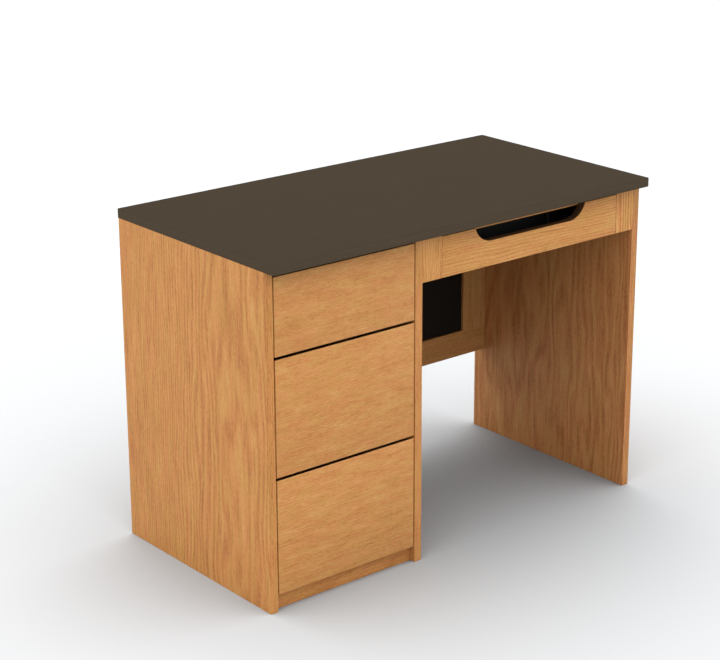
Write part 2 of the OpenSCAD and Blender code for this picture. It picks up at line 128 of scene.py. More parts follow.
def oak_veneer(name, grain, start, figure=1.0, heart=70, tone=0.0, length=1.0,
               shade="#ffffff", painted_shade_box=None):
    """Sliced white oak under clear matt lacquer: a honey ground in long soft streaks, growth
    lines that open into tall arches round the heart, and short dark pores. Figure is the
    growth lines' strength, heart how many millimetres from the tree's middle the sheet was
    sliced, tone how much lighter it is, length the streaks' relative length, and shade a
    tint over it all. The last argument gives two opposite corners of a box in which the
    colour is painted dark brown: painted shade for a recess that lies in shadow."""
    material, tree = new_material(name)
    board = board_frame(tree, grain, start)
    sway = streaks(tree, board, 260, 60, 1)
    swayed = add(tree, "VectorMath", {0: sway.outputs["Color"], 1: (0, 0.016, 0.016), 2: board},
                 operation="MULTIPLY_ADD")
    # growth rings 4 mm apart, cut at heart millimetres from the middle of the tree; a trunk
    # tapers so little that the arches are 16 times as tall as they are wide
    trunk = add(tree, "Mapping", {"Vector": swayed, "Location": (0, 0, heart * MM), "Scale": (1 / 16, 1, 1)})
    rings = add(tree, "TexWave", {"Vector": trunk, "Scale": math.pi / (10 * 4 * MM), "Distortion": 5.0,
                                  "Detail": 2.0, "Detail Scale": 0.35},
                wave_type="RINGS", rings_direction="SPHERICAL")
    blotch = streaks(tree, swayed, 150 * length, 16, 2)
    band = streaks(tree, swayed, 60 * length, 4.2, 3)
    fine = streaks(tree, swayed, 9, 2.0, 2)
    shares = ((0.34, blotch), (0.42, band), (0.52, fine), (-0.10 * figure, rings))
    level = 0.5 + tone - sum(share for share, _ in shares) / 2
    for share, pattern in shares:
        level = add(tree, "Math", {0: pattern, 1: share, 2: level}, operation="MULTIPLY_ADD")
    ground = add(tree, "ValToRGB", {"Fac": level},
                 ramp=[(0.22, "#976035"), (0.42, "#b67c48"), (0.52, "#c08750"), (0.64, "#c69158"),
                       (0.85, "#d2a46e")])
    # one part of a tree is redder, another more straw yellow
    hue = add(tree, "MapRange", {"Value": streaks(tree, board, 90 * length, 14, 3), 1: 0.36, 2: 0.64})
    tinted = add(tree, "Mix", {0: hue, 6: linear("#fff4ea"), 7: linear("#fafce5")}, data_type="RGBA")
    for cast in (tinted.outputs[2], linear(shade)):
        ground = add(tree, "Mix", {0: 1.0, 6: ground, 7: cast}, data_type="RGBA",
                     blend_type="MULTIPLY").outputs[2]
    # pores are hairlines 0.2 mm wide, drawn 0.9 mm wide so that they show; most lie in the
    # early part of each ring
    pores = add(tree, "MapRange", {"Value": streaks(tree, swayed, 13, 0.9, 1), 1: 0.56, 2: 0.70})
    pores = add(tree, "Math", {0: pores, 1: add(tree, "MapRange", {"Value": rings, 3: 0.45, 4: 1.0})},
                operation="MULTIPLY")
    depth = add(tree, "Math", {0: pores, 1: 0.30}, operation="MULTIPLY")
    grained = add(tree, "Mix", {0: depth, 6: ground, 7: linear("#8a5228")}, data_type="RGBA")
    # painted shade: inside the given box the wood's colour is replaced by dark brown, for a recess that lies in
    # shadow
    if painted_shade_box:
        low, high = np.array(painted_shade_box)
        spot = add(tree, "TexCoord").outputs["Object"]
        away = add(tree, "VectorMath", {0: spot, 1: tuple((low + high) / 2)}, operation="SUBTRACT")
        away = add(tree, "VectorMath", {0: away}, operation="ABSOLUTE")
        spare = add(tree, "VectorMath", {0: tuple((high - low) / 2), 1: away}, operation="SUBTRACT")
        spare = add(tree, "SeparateXYZ", {"Vector": spare}).outputs
        least = add(tree, "Math", {0: spare[0], 1: spare[1]}, operation="MINIMUM")
        least = add(tree, "Math", {0: least, 1: spare[2]}, operation="MINIMUM")
        within = add(tree, "Math", {0: least, 1: 0.0}, operation="GREATER_THAN")
        # the dark brown of the painted shade
        grained = add(tree, "Mix", {0: within, 6: grained.outputs[2], 7: linear("#4d3523")}, data_type="RGBA")
    # the lacquer sinks a little into the pores and keeps the wood's open grain
    height = add(tree, "Math", {0: pores, 1: -1.0, 2: fine}, operation="MULTIPLY_ADD")
    relief = add(tree, "Bump", {"Strength": 0.35, "Distance": 0.06 * MM, "Height": height})
    gloss = add(tree, "MapRange", {"Value": fine, 1: 0.3, 2: 0.7, 3: 0.50, 4: 0.60})
    skin = add(tree, "BsdfPrincipled", {"Base Color": grained.outputs[2], "Roughness": gloss,
                                        "Normal": relief, "IOR": 1.50, "Specular IOR Level": 0.2})
    add(tree, "OutputMaterial", {"Surface": skin})
    return material


def grid_faces(rows, columns):
    """Quads between neighbouring points of a grid that is rows by columns."""
    index = np.arange(rows * columns).reshape(rows, columns)
    return np.stack([index[:-1, :-1], index[1:, :-1], index[1:, 1:], index[:-1, 1:]], -1).reshape(-1, 4)


def board_shell(lo, hi, radius=EASED):
    """Closed skin of a board with rounded arrises. Each point of a grid on the box's six faces
    goes to the nearest point of the inner box, which is smaller by the radius all round, and
    back out along the same line to the radius."""
    lo, hi = np.array(lo, float), np.array(hi, float)
    step = radius * np.tan(np.radians([45, 22.5, 0]))
    lines = [np.concatenate([a + radius - step, b - radius + step[::-1]]) for a, b in zip(lo, hi)]
    points, faces = [], []
    for axis in range(3):
        u, v = (axis + 1) % 3, (axis + 2) % 3
        for limit, turn in ((lo, -1), (hi, 1)):
            sheet = np.empty((len(lines[u]), len(lines[v]), 3))
            sheet[..., u], sheet[..., v] = np.meshgrid(lines[u], lines[v], indexing="ij")
            sheet[..., axis] = limit[axis]
            faces.append(grid_faces(*sheet.shape[:2])[:, ::turn] + sum(map(len, points)))
            points.append(sheet.reshape(-1, 3))
    points = np.concatenate(points)
    inner = np.clip(points, lo + radius, hi - radius)
    away = points - inner
    points = inner + radius * away / np.linalg.norm(away, axis=1, keepdims=True)
    points, same = np.unique(points.round(7), axis=0, return_inverse=True)
    return points, same.ravel()[np.concatenate(faces)].tolist()


def piece(name, shells, material, body, slot, *nodes, sharp=None):
    """One object from closed skins, each a pair of points and faces, where the CAD nodes that
    it stands for are. Edges that turn less than sharp degrees are shaded smooth."""
    points, faces, count = [], [], 0
    for shell_points, shell_faces in shells:
        points.append(shell_points)
        faces += [[i + count for i in face] for face in shell_faces]
        count += len(shell_points)
    mesh = bpy.data.meshes.new(name)
    mesh.from_pydata(np.concatenate(points).tolist(), [], faces)
    mesh.materials.append(material)
    if sharp:
        mesh.shade_smooth()
        mesh.set_sharp_from_angle(angle=math.radians(sharp))
    made = bpy.data.objects.new(name, mesh)
    bpy.context.scene.collection.objects.link(made)
    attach(made, body)
    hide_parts(*nodes)
    return made


def oak_board(node, grain, start, body="desk_frame", radius=EASED, **look):
    """An oak-faced board in place of the CAD node of that name, in a veneer cut for it alone."""
    veneer = oak_veneer("oak_veneer_" + node, grain, start, **look)
    return piece(node + ".oak", [board_shell(*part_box(node), radius)], veneer, body, "oak_veneer", node)


oak_board("left_side_panel", "zyx", (0.0, 0.13, 0.525), figure=1.6)
oak_board("pedestal_inner_panel", "zyx", (1.7, 0.31, 0.13), figure=0.8, tone=0.07, shade="#faf9ff")
# painted light: the bluish tint is matched to this panel's inner face in the kneehole's shade and stands in for
# the cooler light there
oak_board("right_end_panel", "zyx", (0.9, -0.12, -0.47), figure=1.8, shade="#f2f0ff")

# ---- Pedestal carcass ----------------------------------------------------------------------
# Bottom, back, kick board and top rail between the two panels, pulled tight by cam fittings.
# The same veneered board; the kick board stands back from the fronts, in their shade.
oak_board("kick_board", "xzy", (0.4, 0.2, 0.3), tone=-0.04)
oak_board("pedestal_bottom", "xyz", (1.1, 0.2, 0.3))
oak_board("pedestal_back", "zxy", (0.5, 0.27, 0.1))
oak_board("pedestal_top_rail", "xyz", (2.1, 0.2, 0.3))

# ---- Desktop -------------------------------------------------------------------------------
# Chipboard core under 0.8 mm of dark grey-brown laminate, with a balancing sheet below and a
# 2 mm plastic edge band glued round it, its arrises scraped round. The band is painted lighter
# than the top as painted light for its upright faces, which get less of the overhead light,
# and its upper arris is painted back to the top's colour as painted shade.
band_lo, band_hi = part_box("desktop_edge_band")
sheet_lo, sheet_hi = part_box("desktop_laminate")
BAND = sheet_lo.x - band_lo.x
SHEET = 0.8 * MM
CORNER = 3.5 * MM                        # radius of the desktop's corners, seen from above
SCRAPED = 0.7 * MM                       # radius of the band's arrises


def rounded_rectangle(half_x, half_y, radius, per_corner=6):
    """Loop of points, anticlockwise: four corners, each a quarter circle of the radius whose
    centre lies that far in from both sides."""
    angle = np.linspace(0, math.pi / 2, per_corner + 1)
    corner = np.stack([np.cos(angle), np.sin(angle)], -1) * radius
    corner += (half_x - radius, half_y - radius)
    flip = corner[::-1]
    return np.concatenate([corner, flip * (-1, 1), corner * (-1, -1), flip * (1, -1)])


def raised(loop, height):
    """A plan loop as points in space at that height."""
    return np.column_stack([loop, np.full(len(loop), height)])


def loft(loops, ring=False):
    """Skin through a stack of loops with equal counts: each point is joined to the next one
    on its loop and to its fellow on the next loop. The ends are capped, unless the stack is a
    ring that closes on itself."""
    loops = np.asarray(loops, float)
    index = np.arange(loops.shape[0] * loops.shape[1]).reshape(loops.shape[:2])
    index = np.concatenate([index, index[:1]]) if ring else index
    low, high = index[:-1], index[1:]
    quads = np.stack([low, np.roll(low, -1, 1), np.roll(high, -1, 1), high], -1).reshape(-1, 4).tolist()
    caps = [] if ring else [index[0, ::-1].tolist(), index[-1].tolist()]
    return loops.reshape(-1, 3), quads + caps


def laminate(name, code, core=None):
    """High-pressure laminate with a suede finish: an even, dull grey-brown with a faint
    lengthwise printed figure and a fine pressed texture that breaks up any shine. The last
    argument, if given, is a darker colour painted on the desktop's upper arris: painted shade
    that keeps the rounded arris from catching the light."""
    material, tree = new_material(name)
    board = board_frame(tree, "xyz", (0.3, 0.2, 0.1))
    print_figure = streaks(tree, board, 120, 9, 3)
    speckle = streaks(tree, board, 1.6, 1.6, 2)
    level = add(tree, "Math", {0: speckle, 1: 0.35, 2: print_figure}, operation="MULTIPLY_ADD")
    shade = add(tree, "MapRange", {"Value": level, 1: 0.40, 2: 0.95})
    dark, light = linear(code), linear(code)
    dark[:3] = [0.94 * c for c in dark[:3]]
    light[:3] = [1.06 * c for c in light[:3]]
    colour = add(tree, "Mix", {0: shade, 6: dark, 7: light}, data_type="RGBA")
    # painted shade: the band's rounded upper arris fades to the darker colour
    if core:
        height = add(tree, "SeparateXYZ", {"Vector": add(tree, "TexCoord").outputs["Object"]}).outputs[2]
        painted_arris_shade = add(tree, "MapRange", {"Value": height, 1: band_hi.z - SCRAPED, 2: band_hi.z - SCRAPED / 2})
        colour = add(tree, "Mix", {0: painted_arris_shade, 6: colour.outputs[2], 7: linear(core)}, data_type="RGBA")
    relief = add(tree, "Bump", {"Strength": 0.25, "Distance": 0.03 * MM, "Height": speckle})
    skin = add(tree, "BsdfPrincipled", {"Base Color": colour.outputs[2], "Roughness": 0.72, "Normal": relief,
                                        "IOR": 1.50, "Specular IOR Level": 0.02})
    add(tree, "OutputMaterial", {"Surface": skin})
    return material


dark_laminate = laminate("suede_laminate", "#352c21")
# the band's colour is painted lighter than the top's as painted light, and its upper arris is painted in the
# top's colour as painted shade
edge_plastic = laminate("edge_band_painted_light_and_shade", "#483e32", core="#352c21")
sheets = []
for low in (sheet_lo.z, sheet_hi.z - SHEET):
    plan = rounded_rectangle(sheet_hi.x, sheet_hi.y, CORNER - BAND)
    sheets.append(loft([raised(plan, low), raised(plan, low + SHEET)]))
piece("desktop_laminate.sheets", sheets, dark_laminate, "desk_frame", "dark_laminate", "desktop_laminate")

turn = np.linspace(0, math.pi / 2, 5)
inset = SCRAPED * (1 - np.sin(turn))
rise = SCRAPED * (1 - np.cos(turn))
outline = [(i, band_lo.z + r) for i, r in zip(inset, rise)]
outline += [(i, band_hi.z - r) for i, r in zip(inset[::-1], rise[::-1])]
outline += [(BAND, band_hi.z), (BAND, band_lo.z)]
band = [raised(rounded_rectangle(band_hi.x - i, band_hi.y - i, CORNER - i), z) for i, z in outline]
piece("desktop_edge_band.scraped", [loft(band, ring=True)], edge_plastic, "desk_frame", "dark_laminate",
      "desktop_edge_band", sharp=40)

# ---- Kneehole woodwork ---------------------------------------------------------------------
# Two short stiles fill the front beside the pencil drawer, a rail ties them together behind
# it, and two boards hung from the desktop carry its slides. Oak, as the panels.
JOINED = 0.35 * MM                       # radius of an arris that lies flush beside another board
oak_board("left_filler_stile", "zxy", (0.2, 0.05, 0.4), radius=JOINED, figure=2.0, tone=0.08)
oak_board("right_filler_stile", "zxy", (-0.425, 0.323, 0.4), radius=JOINED, figure=4.0, tone=0.06)
oak_board("kneehole_front_rail", "xzy", (0.6, 0.1, 0.2))
oak_board("left_runner_board", "yzx", (0.3, 0.4, 0.2))
oak_board("right_runner_board", "yzx", (0.8, 0.1, 0.5))

# ---- Modesty frame -------------------------------------------------------------------------
# Two stiles and two rails, grooved for a thin black panel and held by cams let into their
# rear faces. The boards keep the drawn shape, with its grooves and its round cam housings.
# painted light: these boards stand in the kneehole's shade, and their bluish tint and their tone were matched
# there, standing in for the light's colour and strength
for node, grain, start in (("modesty_left_stile", "zxy", (0.3, 0.1, 0.5)),
                           ("modesty_right_stile", "zxy", (1.2, -0.4, 0.5)),
                           ("modesty_bottom_rail", "xzy", (0.5, 0.3, 0.5)),
                           ("modesty_top_rail", "xzy", (1.5, 0.6, 0.5))):
    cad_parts[node].material_slots[0].material = oak_veneer("oak_veneer_" + node, grain, start,
                                                                shade="#e7f1ff")


def painted_board():
    """Hardboard sprayed satin black: even and nearly black, with a soft orange-peel texture."""
    material, tree = new_material("black_painted_hardboard")
    peel = streaks(tree, board_frame(tree, "xyz", (0, 0, 0)), 2.2, 2.2, 1)
    tone = add(tree, "ValToRGB", {"Fac": peel}, ramp=[(0.3, "#12100d"), (0.7, "#181511")])
    relief = add(tree, "Bump", {"Strength": 0.3, "Distance": 0.05 * MM, "Height": peel})
    skin = add(tree, "BsdfPrincipled", {"Base Color": tone, "Roughness": 0.55, "Normal": relief,
                                        "Specular IOR Level": 0.12})
    add(tree, "OutputMaterial", {"Surface": skin})
    return material


piece("modesty_panel.painted", [board_shell(*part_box("modesty_panel"), 0.5 * MM)], painted_board(),
      "desk_frame", "black_board", "modesty_panel")

# ---- Drawer fronts -------------------------------------------------------------------------
# Three plain fronts cut in a row from one veneered sheet, grain lengthways, with a shadow gap
# between them and no handles: each top edge is bevelled down towards the back for the fingers.
FRONT_BEVEL = 11 * MM                    # drop of the top edge from the face to the back


def eased_ends(lo, hi):
    """Places along a board and how far its outline is drawn in there, so that a quarter circle
    of the arris closes each end."""
    turn = np.linspace(0, math.pi / 2, 4)
    end, less = EASED * (1 - np.cos(turn)), EASED * (1 - np.sin(turn))
    return np.concatenate([lo + end, (hi - end)[::-1]]), np.concatenate([less, less[::-1]])


def bevelled_front(lo, hi):
    """The front's outline in Y and Z carried along X. At each corner an arc of the arris turns
    from one side's heading to the next, about a centre that lies the radius in from both."""
    corners = [(lo.y, lo.z), (hi.y, lo.z), (hi.y, hi.z - FRONT_BEVEL), (lo.y, hi.z)]
    slope = math.pi - math.atan2(FRONT_BEVEL, hi.y - lo.y)
    headings = np.array([-0.5 * math.pi, 0.0, 0.5 * math.pi, slope, 1.5 * math.pi])
    loops = []
    for x, less in zip(*eased_ends(lo.x, hi.x)):
        outline = []
        for corner, before, after in zip(corners, headings[:-1], headings[1:]):
            reach = (EASED + less) / math.cos((after - before) / 2)
            inward = (before + after + math.pi) / 2
            centre = corner + reach * np.array([math.cos(inward), math.sin(inward)])
            angle = np.linspace(before, after, 5) - math.pi / 2
            outline.append(centre + EASED * np.stack([np.cos(angle), np.sin(angle)], -1))
        outline = np.concatenate(outline)
        loops.append(np.column_stack([np.full(len(outline), x), outline]))
    return loft(loops)


for n, start in ((1, (0.1, 0.2, 0.6)), (2, (0.16, 0.9, 0.7)), (3, (0.22, 1.6, 0.8))):
    node = f"drawer_{n}_front"
    veneer = oak_veneer("oak_veneer_" + node, "xzy", start, figure=0.6, length=0.5, tone=0.08,
                        shade="#faf9ff")
    piece(node + ".oak", [bevelled_front(*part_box(node))], veneer, f"drawer_{n}", "oak_veneer", node, sharp=35)

# ---- Drawer boxes --------------------------------------------------------------------------
# Sides, inner front and back of 12 mm birch plywood, and a 6 mm bottom slid into a groove.
# Pale rotary-cut faces; on the edges the plies show as fine light and dark lines.
PLY = 1.5 * MM                           # thickness of one ply


def birch_plywood(name, grain, low):
    """Birch plywood with a clear seal: cream faces with faint wavy figure, and plies that
    follow each other through the thickness, end grain darker than long grain."""
    material, tree = new_material(name)
    place = [0.0, 0.0, 0.0]
    through = "xyz".index(grain[2])
    place[through] = PLY / 2 - low[through]
    board = board_frame(tree, grain, place)
    across_plies = add(tree, "SeparateXYZ", {"Vector": board}).outputs[2]
    pair = add(tree, "Math", {0: across_plies, 1: 2 * PLY}, operation="FLOORED_MODULO")
    ply = add(tree, "Math", {0: pair, 1: PLY},
              operation="GREATER_THAN")
    figure = streaks(tree, board, 150, 16, 2)
    fibre = streaks(tree, board, 22, 1.4, 3)
    level = add(tree, "Math", {0: fibre, 1: 0.45, 2: figure}, operation="MULTIPLY_ADD")
    face = add(tree, "ValToRGB", {"Fac": add(tree, "Math", {0: level, 1: 0.23}, operation="SUBTRACT")},
               ramp=[(0.25, "#c9a676"), (0.50, "#d9bb8d"), (0.75, "#e4cba3")])
    edge = add(tree, "ValToRGB", {"Fac": fibre}, ramp=[(0.3, "#8f6a42"), (0.7, "#a9845a")])
    wood = add(tree, "Mix", {0: ply, 6: face, 7: edge}, data_type="RGBA")
    relief = add(tree, "Bump", {"Strength": 0.3, "Distance": 0.05 * MM, "Height": fibre})
    skin = add(tree, "BsdfPrincipled", {"Base Color": wood.outputs[2], "Roughness": 0.6, "Normal": relief,
                                        "IOR": 1.50, "Specular IOR Level": 0.3})
    add(tree, "OutputMaterial", {"Surface": skin})
    return material


for n in (1, 2, 3):
    for part, grain in (("left_side", "yzx"), ("right_side", "yzx"), ("inner_front", "xzy"), ("back", "xzy"),
                        ("bottom", "xyz")):
        node = f"drawer_{n}_{part}"
        low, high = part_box(node)
        plywood = birch_plywood("birch_plywood_" + node, grain, low)
        piece(node + ".ply", [board_shell(low, high, 0.7 * MM)], plywood, f"drawer_{n}", "birch_ply", node)

# ---- Slides --------------------------------------------------------------------------------
# Telescopic slides of 1.2 mm zinc-plated strip, rolled into channels that run in each other.
# The outer member is screwed to the cabinet, the inner one to the drawer.
STEEL = 1.2 * MM
FOLD = 0.9 * MM                          # bend radius on the strip's centre line


def bent_strip(corners, thickness, bend, per_bend=4):
    """Outline of a bent strip: the path through the corners with each turn rounded to an arc
    of the bend radius, then that path set out half the thickness to each side."""
    corners = np.asarray(corners, float)
    path = [corners[0]]
    for before, corner, after in zip(corners[:-2], corners[1:-1], corners[2:]):
        back = (before - corner) / np.linalg.norm(before - corner)
        on = (after - corner) / np.linalg.norm(after - corner)
        t = np.linspace(0, math.pi / 2, per_bend + 1)[:, None]
        path += list(corner + bend * (back * (1 - np.sin(t)) + on * (1 - np.cos(t))))
    path = np.array(path + [corners[-1]])
    along = np.gradient(path, axis=0)
    along /= np.linalg.norm(along, axis=1, keepdims=True)
    side = np.stack([-along[:, 1], along[:, 0]], -1) * thickness / 2
    return np.concatenate([path + side, (path - side)[::-1]])


def turned_right(shell, loop_count):
    """The same skin with its faces turned over where its outline runs clockwise."""
    points, faces = shell
    outline = points[:loop_count]
    area = np.cross(outline - outline.mean(0), np.roll(outline, -1, 0) - outline.mean(0)).sum(0)
    inward = points[-loop_count:].mean(0) - outline.mean(0)
    return (points, [face[::-1] for face in faces]) if area @ inward < 0 else shell


def rolled_channel(section, face, hand, height, ends):
    """A rolled member: its section, with x counted from the cabinet face towards the drawer
    and z from the slide's centre line, carried along Y from end to end."""
    outline = bent_strip(section, STEEL, FOLD)
    loops = [np.column_stack([face + hand * outline[:, 0], np.full(len(outline), y), height + outline[:, 1]])
             for y in ends]
    return turned_right(loft(loops), len(outline))


def zinc_plate(name, tone="#c3c6c8"):
    """Bright zinc plating on cold-rolled strip: light grey metal, faintly blue, its shine
    softened and clouded by the passivation and drawn out along the rolling direction."""
    material, tree = new_material(name)
    strip = board_frame(tree, "yzx", (0, 0, 0))
    rolling = streaks(tree, strip, 60, 0.7, 2)
    cloud = streaks(tree, strip, 30, 12, 2)
    mix = add(tree, "Math", {0: rolling, 1: 0.5, 2: cloud}, operation="MULTIPLY_ADD")
    metal = add(tree, "Mix", {0: mix, 6: linear(tone), 7: linear("#9ea3a8")}, data_type="RGBA")
    gloss = add(tree, "MapRange", {"Value": mix, 1: 0.4, 2: 1.1, 3: 0.28, 4: 0.48})
    relief = add(tree, "Bump", {"Strength": 0.15, "Distance": 0.02 * MM, "Height": rolling})
    skin = add(tree, "BsdfPrincipled", {"Base Color": metal.outputs[2], "Metallic": 1.0, "Roughness": gloss,
                                        "Normal": relief})
    add(tree, "OutputMaterial", {"Surface": skin})
    return material


def member(half, web, lip_x, lip=None):
    """Section of a channel: half its outer height, the web's and the flange ends' centre
    lines, and how far the flange ends turn back in."""
    half -= STEEL / 2 / MM
    section = [(lip_x, half), (web, half), (web, -half), (lip_x, -half)]
    if lip:
        section = [(lip_x, half - lip), *section, (lip_x, lip - half)]
    return np.array(section) * MM


plated = zinc_plate("zinc_plated_strip")


OUTER, BETWEEN, INNER = 22.5, 18.7, 14.9         # half heights of a pedestal slide's members
heights = {n: sum(v.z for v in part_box(f"drawer_{n}_slide_inner")) / 2 for n in (1, 2, 3)}


def channels(name, node, body, section, levels, box):
    """The left and right member at each level, between the cabinet faces of that box."""
    low, high = box
    shells = [rolled_channel(section, face, hand, z, (low.y, high.y)) for z in levels
              for face, hand in ((low.x, 1), (high.x, -1))]
    piece(name, shells, plated, body, "zinc_steel", node, sharp=50)


pedestal_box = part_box("pedestal_slide_outer")
channels("pedestal_slides.outer", "pedestal_slide_outer", "desk_frame", member(OUTER, 0.6, 9.0, 2.6),
         heights.values(), pedestal_box)
for n, level in heights.items():
    channels(f"drawer_{n}_slides.middle", f"drawer_{n}_slide_middle", f"drawer_{n}_middle",
             member(BETWEEN, 3.8, 8.4, 2.6), [level], pedestal_box)
    channels(f"drawer_{n}_slides.inner", f"drawer_{n}_slide_inner", f"drawer_{n}",
             member(INNER, 12.1, 5.6), [level], pedestal_box)
pencil_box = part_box("pencil_slide_outer")
pencil_level = (pencil_box[0].z + pencil_box[1].z) / 2
channels("pencil_slides.outer", "pencil_slide_outer", "desk_frame", member(17.5, 0.6, 9.0, 2.6),
         [pencil_level], pencil_box)
channels("pencil_slides.inner", "pencil_slide_inner", "pencil_drawer", member(13.7, 12.1, 3.0),
         [pencil_level], pencil_box)

# ---- Pencil drawer front -------------------------------------------------------------------
# An oak-faced front with a long hand scoop routed through its top edge: a flat bottom that
# sweeps up at both ends. The routed surface is painted dark brown: painted shade, as it lies in shadow.
pencil_lo, pencil_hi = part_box("pencil_front")
SCOOP_AT = 190.0 * MM                    # middle of the scoop
SCOOP_FLAT = 231.0 * MM / 2              # half its straight part
SCOOP_DEPTH = 34.5 * MM
SCOOP_R = 50.0 * MM                      # radius of its ends
SCOOP_ANGLE = math.acos((SCOOP_R - SCOOP_DEPTH) / SCOOP_R)


def scooped_front():
    """Cross-sections carried along X. Each is a rectangle with rounded corners, as wide as the
    board and as tall as the front is there: the top follows the scoop's outline, and the
    whole section shrinks by the arris at the two ends."""
    sweep = np.linspace(0, SCOOP_ANGLE, 14)
    offset = SCOOP_FLAT + SCOOP_R * np.sin(sweep)
    drop = SCOOP_DEPTH - SCOOP_R * (1 - np.cos(sweep))
    ends, drawn_in = eased_ends(pencil_lo.x, pencil_hi.x)
    stations = [(x, 0.0, less) for x, less in zip(ends, drawn_in)]
    stations += [(SCOOP_AT + side * across, fall, 0.0)
                 for side in (-1, 1) for across, fall in zip(offset, drop)]
    loops = []
    for place, fall, less in sorted(stations):
        height = (pencil_hi.z - pencil_lo.z - fall) / 2
        depth = (pencil_hi.y - pencil_lo.y) / 2
        loop = rounded_rectangle(depth - less, height - less, EASED, 3)
        loops.append(np.column_stack([np.full(len(loop), place), loop[:, 0] + (pencil_lo.y + pencil_hi.y) / 2,
                                      loop[:, 1] + pencil_lo.z + height]))
    return loft(loops)


scoop_end = SCOOP_FLAT + SCOOP_R * math.sin(SCOOP_ANGLE)
# box round the scoop's routed surface, which is painted dark brown as painted shade
routed = ((SCOOP_AT - scoop_end, pencil_lo.y + EASED, pencil_hi.z - SCOOP_DEPTH - 1 * MM),
          (SCOOP_AT + scoop_end, pencil_hi.y - EASED, pencil_hi.z))
piece("pencil_front.oak", [scooped_front()],
      oak_veneer("oak_veneer_pencil_front", "xzy", (0.5, 0.386, -0.5), figure=1.8, tone=0.07, painted_shade_box=routed),
      "pencil_drawer", "oak_veneer", "pencil_front", sharp=35)

# ---- Pencil tray ---------------------------------------------------------------------------
# Black ABS, injection moulded: two clip bins and a pencil trough in front, one large tray
# behind. The walls taper to let go of the mould, and every inside corner is rounded.
tray_lo, tray_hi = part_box("pencil_tray")
WALL = 2.5 * MM
BIN, TROUGH = 100 * MM, 75 * MM


def moulded_cell(x, y, outside):
    """One compartment as a stack of loops: up the outside, over the rounded rim, down the
    tapered wall and round the fillet to the floor. Outside is the block that it fills."""
    (x0, x1), (y0, y1) = outside
    centre = ((x[0] + x[1]) / 2, (y[0] + y[1]) / 2)
    half = ((x[1] - x[0]) / 2, (y[1] - y[0]) / 2)
    block = np.array([(x1, y1), (x0, y1), (x0, y0), (x1, y0)])
    floor_z, fillet, lip, taper = tray_lo.z + WALL, 5 * MM, 0.8 * MM, 0.5 * MM
    corner = np.repeat(block, 7, 0)
    loops = [raised(corner, tray_lo.z), raised(corner, tray_hi.z)]
    for turn in np.linspace(0, math.pi / 2, 4):
        spread = lip * (1 - math.sin(turn))
        plan = rounded_rectangle(half[0] + spread, half[1] + spread, 7 * MM)
        loops.append(raised(plan + centre, tray_hi.z - lip * (1 - math.cos(turn))))
    for turn in np.linspace(0, math.pi / 2, 6):
        less = taper + fillet * (1 - math.cos(turn))
        plan = rounded_rectangle(half[0] - less, half[1] - less, 7 * MM - less)
        loops.append(raised(plan + centre, floor_z + fillet * (1 - math.sin(turn))))
    return loft(loops)


def moulded_abs():
    """Black ABS from a spark-eroded mould: charcoal black with a fine even pebble that
    scatters the shine."""
    material, tree = new_material("moulded_black_abs")
    pebble = streaks(tree, board_frame(tree, "xyz", (0, 0, 0)), 1.1, 1.1, 2)
    tone = add(tree, "ValToRGB", {"Fac": pebble}, ramp=[(0.35, "#100f0e"), (0.65, "#181716")])
    relief = add(tree, "Bump", {"Strength": 0.4, "Distance": 0.05 * MM, "Height": pebble})
    skin = add(tree, "BsdfPrincipled", {"Base Color": tone, "Roughness": 0.5, "Normal": relief, "IOR": 1.54,
                                        "Specular IOR Level": 0.3})
    add(tree, "OutputMaterial", {"Surface": skin})
    return material


row_y = (tray_lo.y + WALL, tray_lo.y + WALL + TROUGH)
split_y = row_y[1] + WALL / 2
bins = (tray_lo.x + WALL + BIN, tray_hi.x - WALL - BIN)
cells = [
    moulded_cell((tray_lo.x + WALL, bins[0]), row_y, ((tray_lo.x, bins[0] + WALL / 2), (tray_lo.y, split_y))),
    moulded_cell((bins[0] + WALL, bins[1] - WALL), row_y,
                 ((bins[0] + WALL / 2, bins[1] - WALL / 2), (tray_lo.y, split_y))),
    moulded_cell((bins[1], tray_hi.x - WALL), row_y, ((bins[1] - WALL / 2, tray_hi.x), (tray_lo.y, split_y))),
    moulded_cell((tray_lo.x + WALL, tray_hi.x - WALL), (row_y[1] + WALL, tray_hi.y - WALL),
                 ((tray_lo.x, tray_hi.x), (split_y, tray_hi.y))),
]
abs_black = moulded_abs()
piece("pencil_tray.moulded", cells, abs_black, "pencil_drawer", "black_plastic", "pencil_tray", sharp=30)

# ---- Screws --------------------------------------------------------------------------------
# Zinc-plated pan-head wood screws with a cross recess: through the slides into the boards,
# through the inner fronts into the drawer fronts, and up into the desktop.
HEAD_R, HEAD_H, SHANK_R = 3.5, 1.2, 1.75


def screw(head, direction, shank):
    """Loops from the shank's tip up the shank, out under the head, over its dome and down into
    the cross recess. Direction is the unit vector from the head into the wood."""
    angle = np.linspace(0, 2 * math.pi, 24, endpoint=False)
    circle = np.stack([np.cos(angle), np.sin(angle)], -1)
    near = np.abs(((angle + math.pi / 4) % (math.pi / 2)) - math.pi / 4)
    cross = circle * np.clip(0.55 / np.maximum(np.sin(near), 0.30), None, 1.9)[:, None]
    rounds = [(circle * 0.3, shank), (circle * SHANK_R, shank - 2.5), (circle * SHANK_R, 0.0),
              (circle * HEAD_R, 0.0), (circle * HEAD_R, -0.45 * HEAD_H),
              (circle * HEAD_R * 0.86, -0.86 * HEAD_H), (circle * HEAD_R * 0.62, -HEAD_H),
              (cross, -HEAD_H), (cross * 0.6, -0.15 * HEAD_H)]
    direction = np.asarray(direction, float)
    side = np.cross(direction, (0, 0, 1) if abs(direction[2]) < 0.5 else (1, 0, 0))
    other = np.cross(side, direction)
    loops = [(plan @ np.stack([side, other]) + depth * direction) * MM + head for plan, depth in rounds]
    return loft(loops)


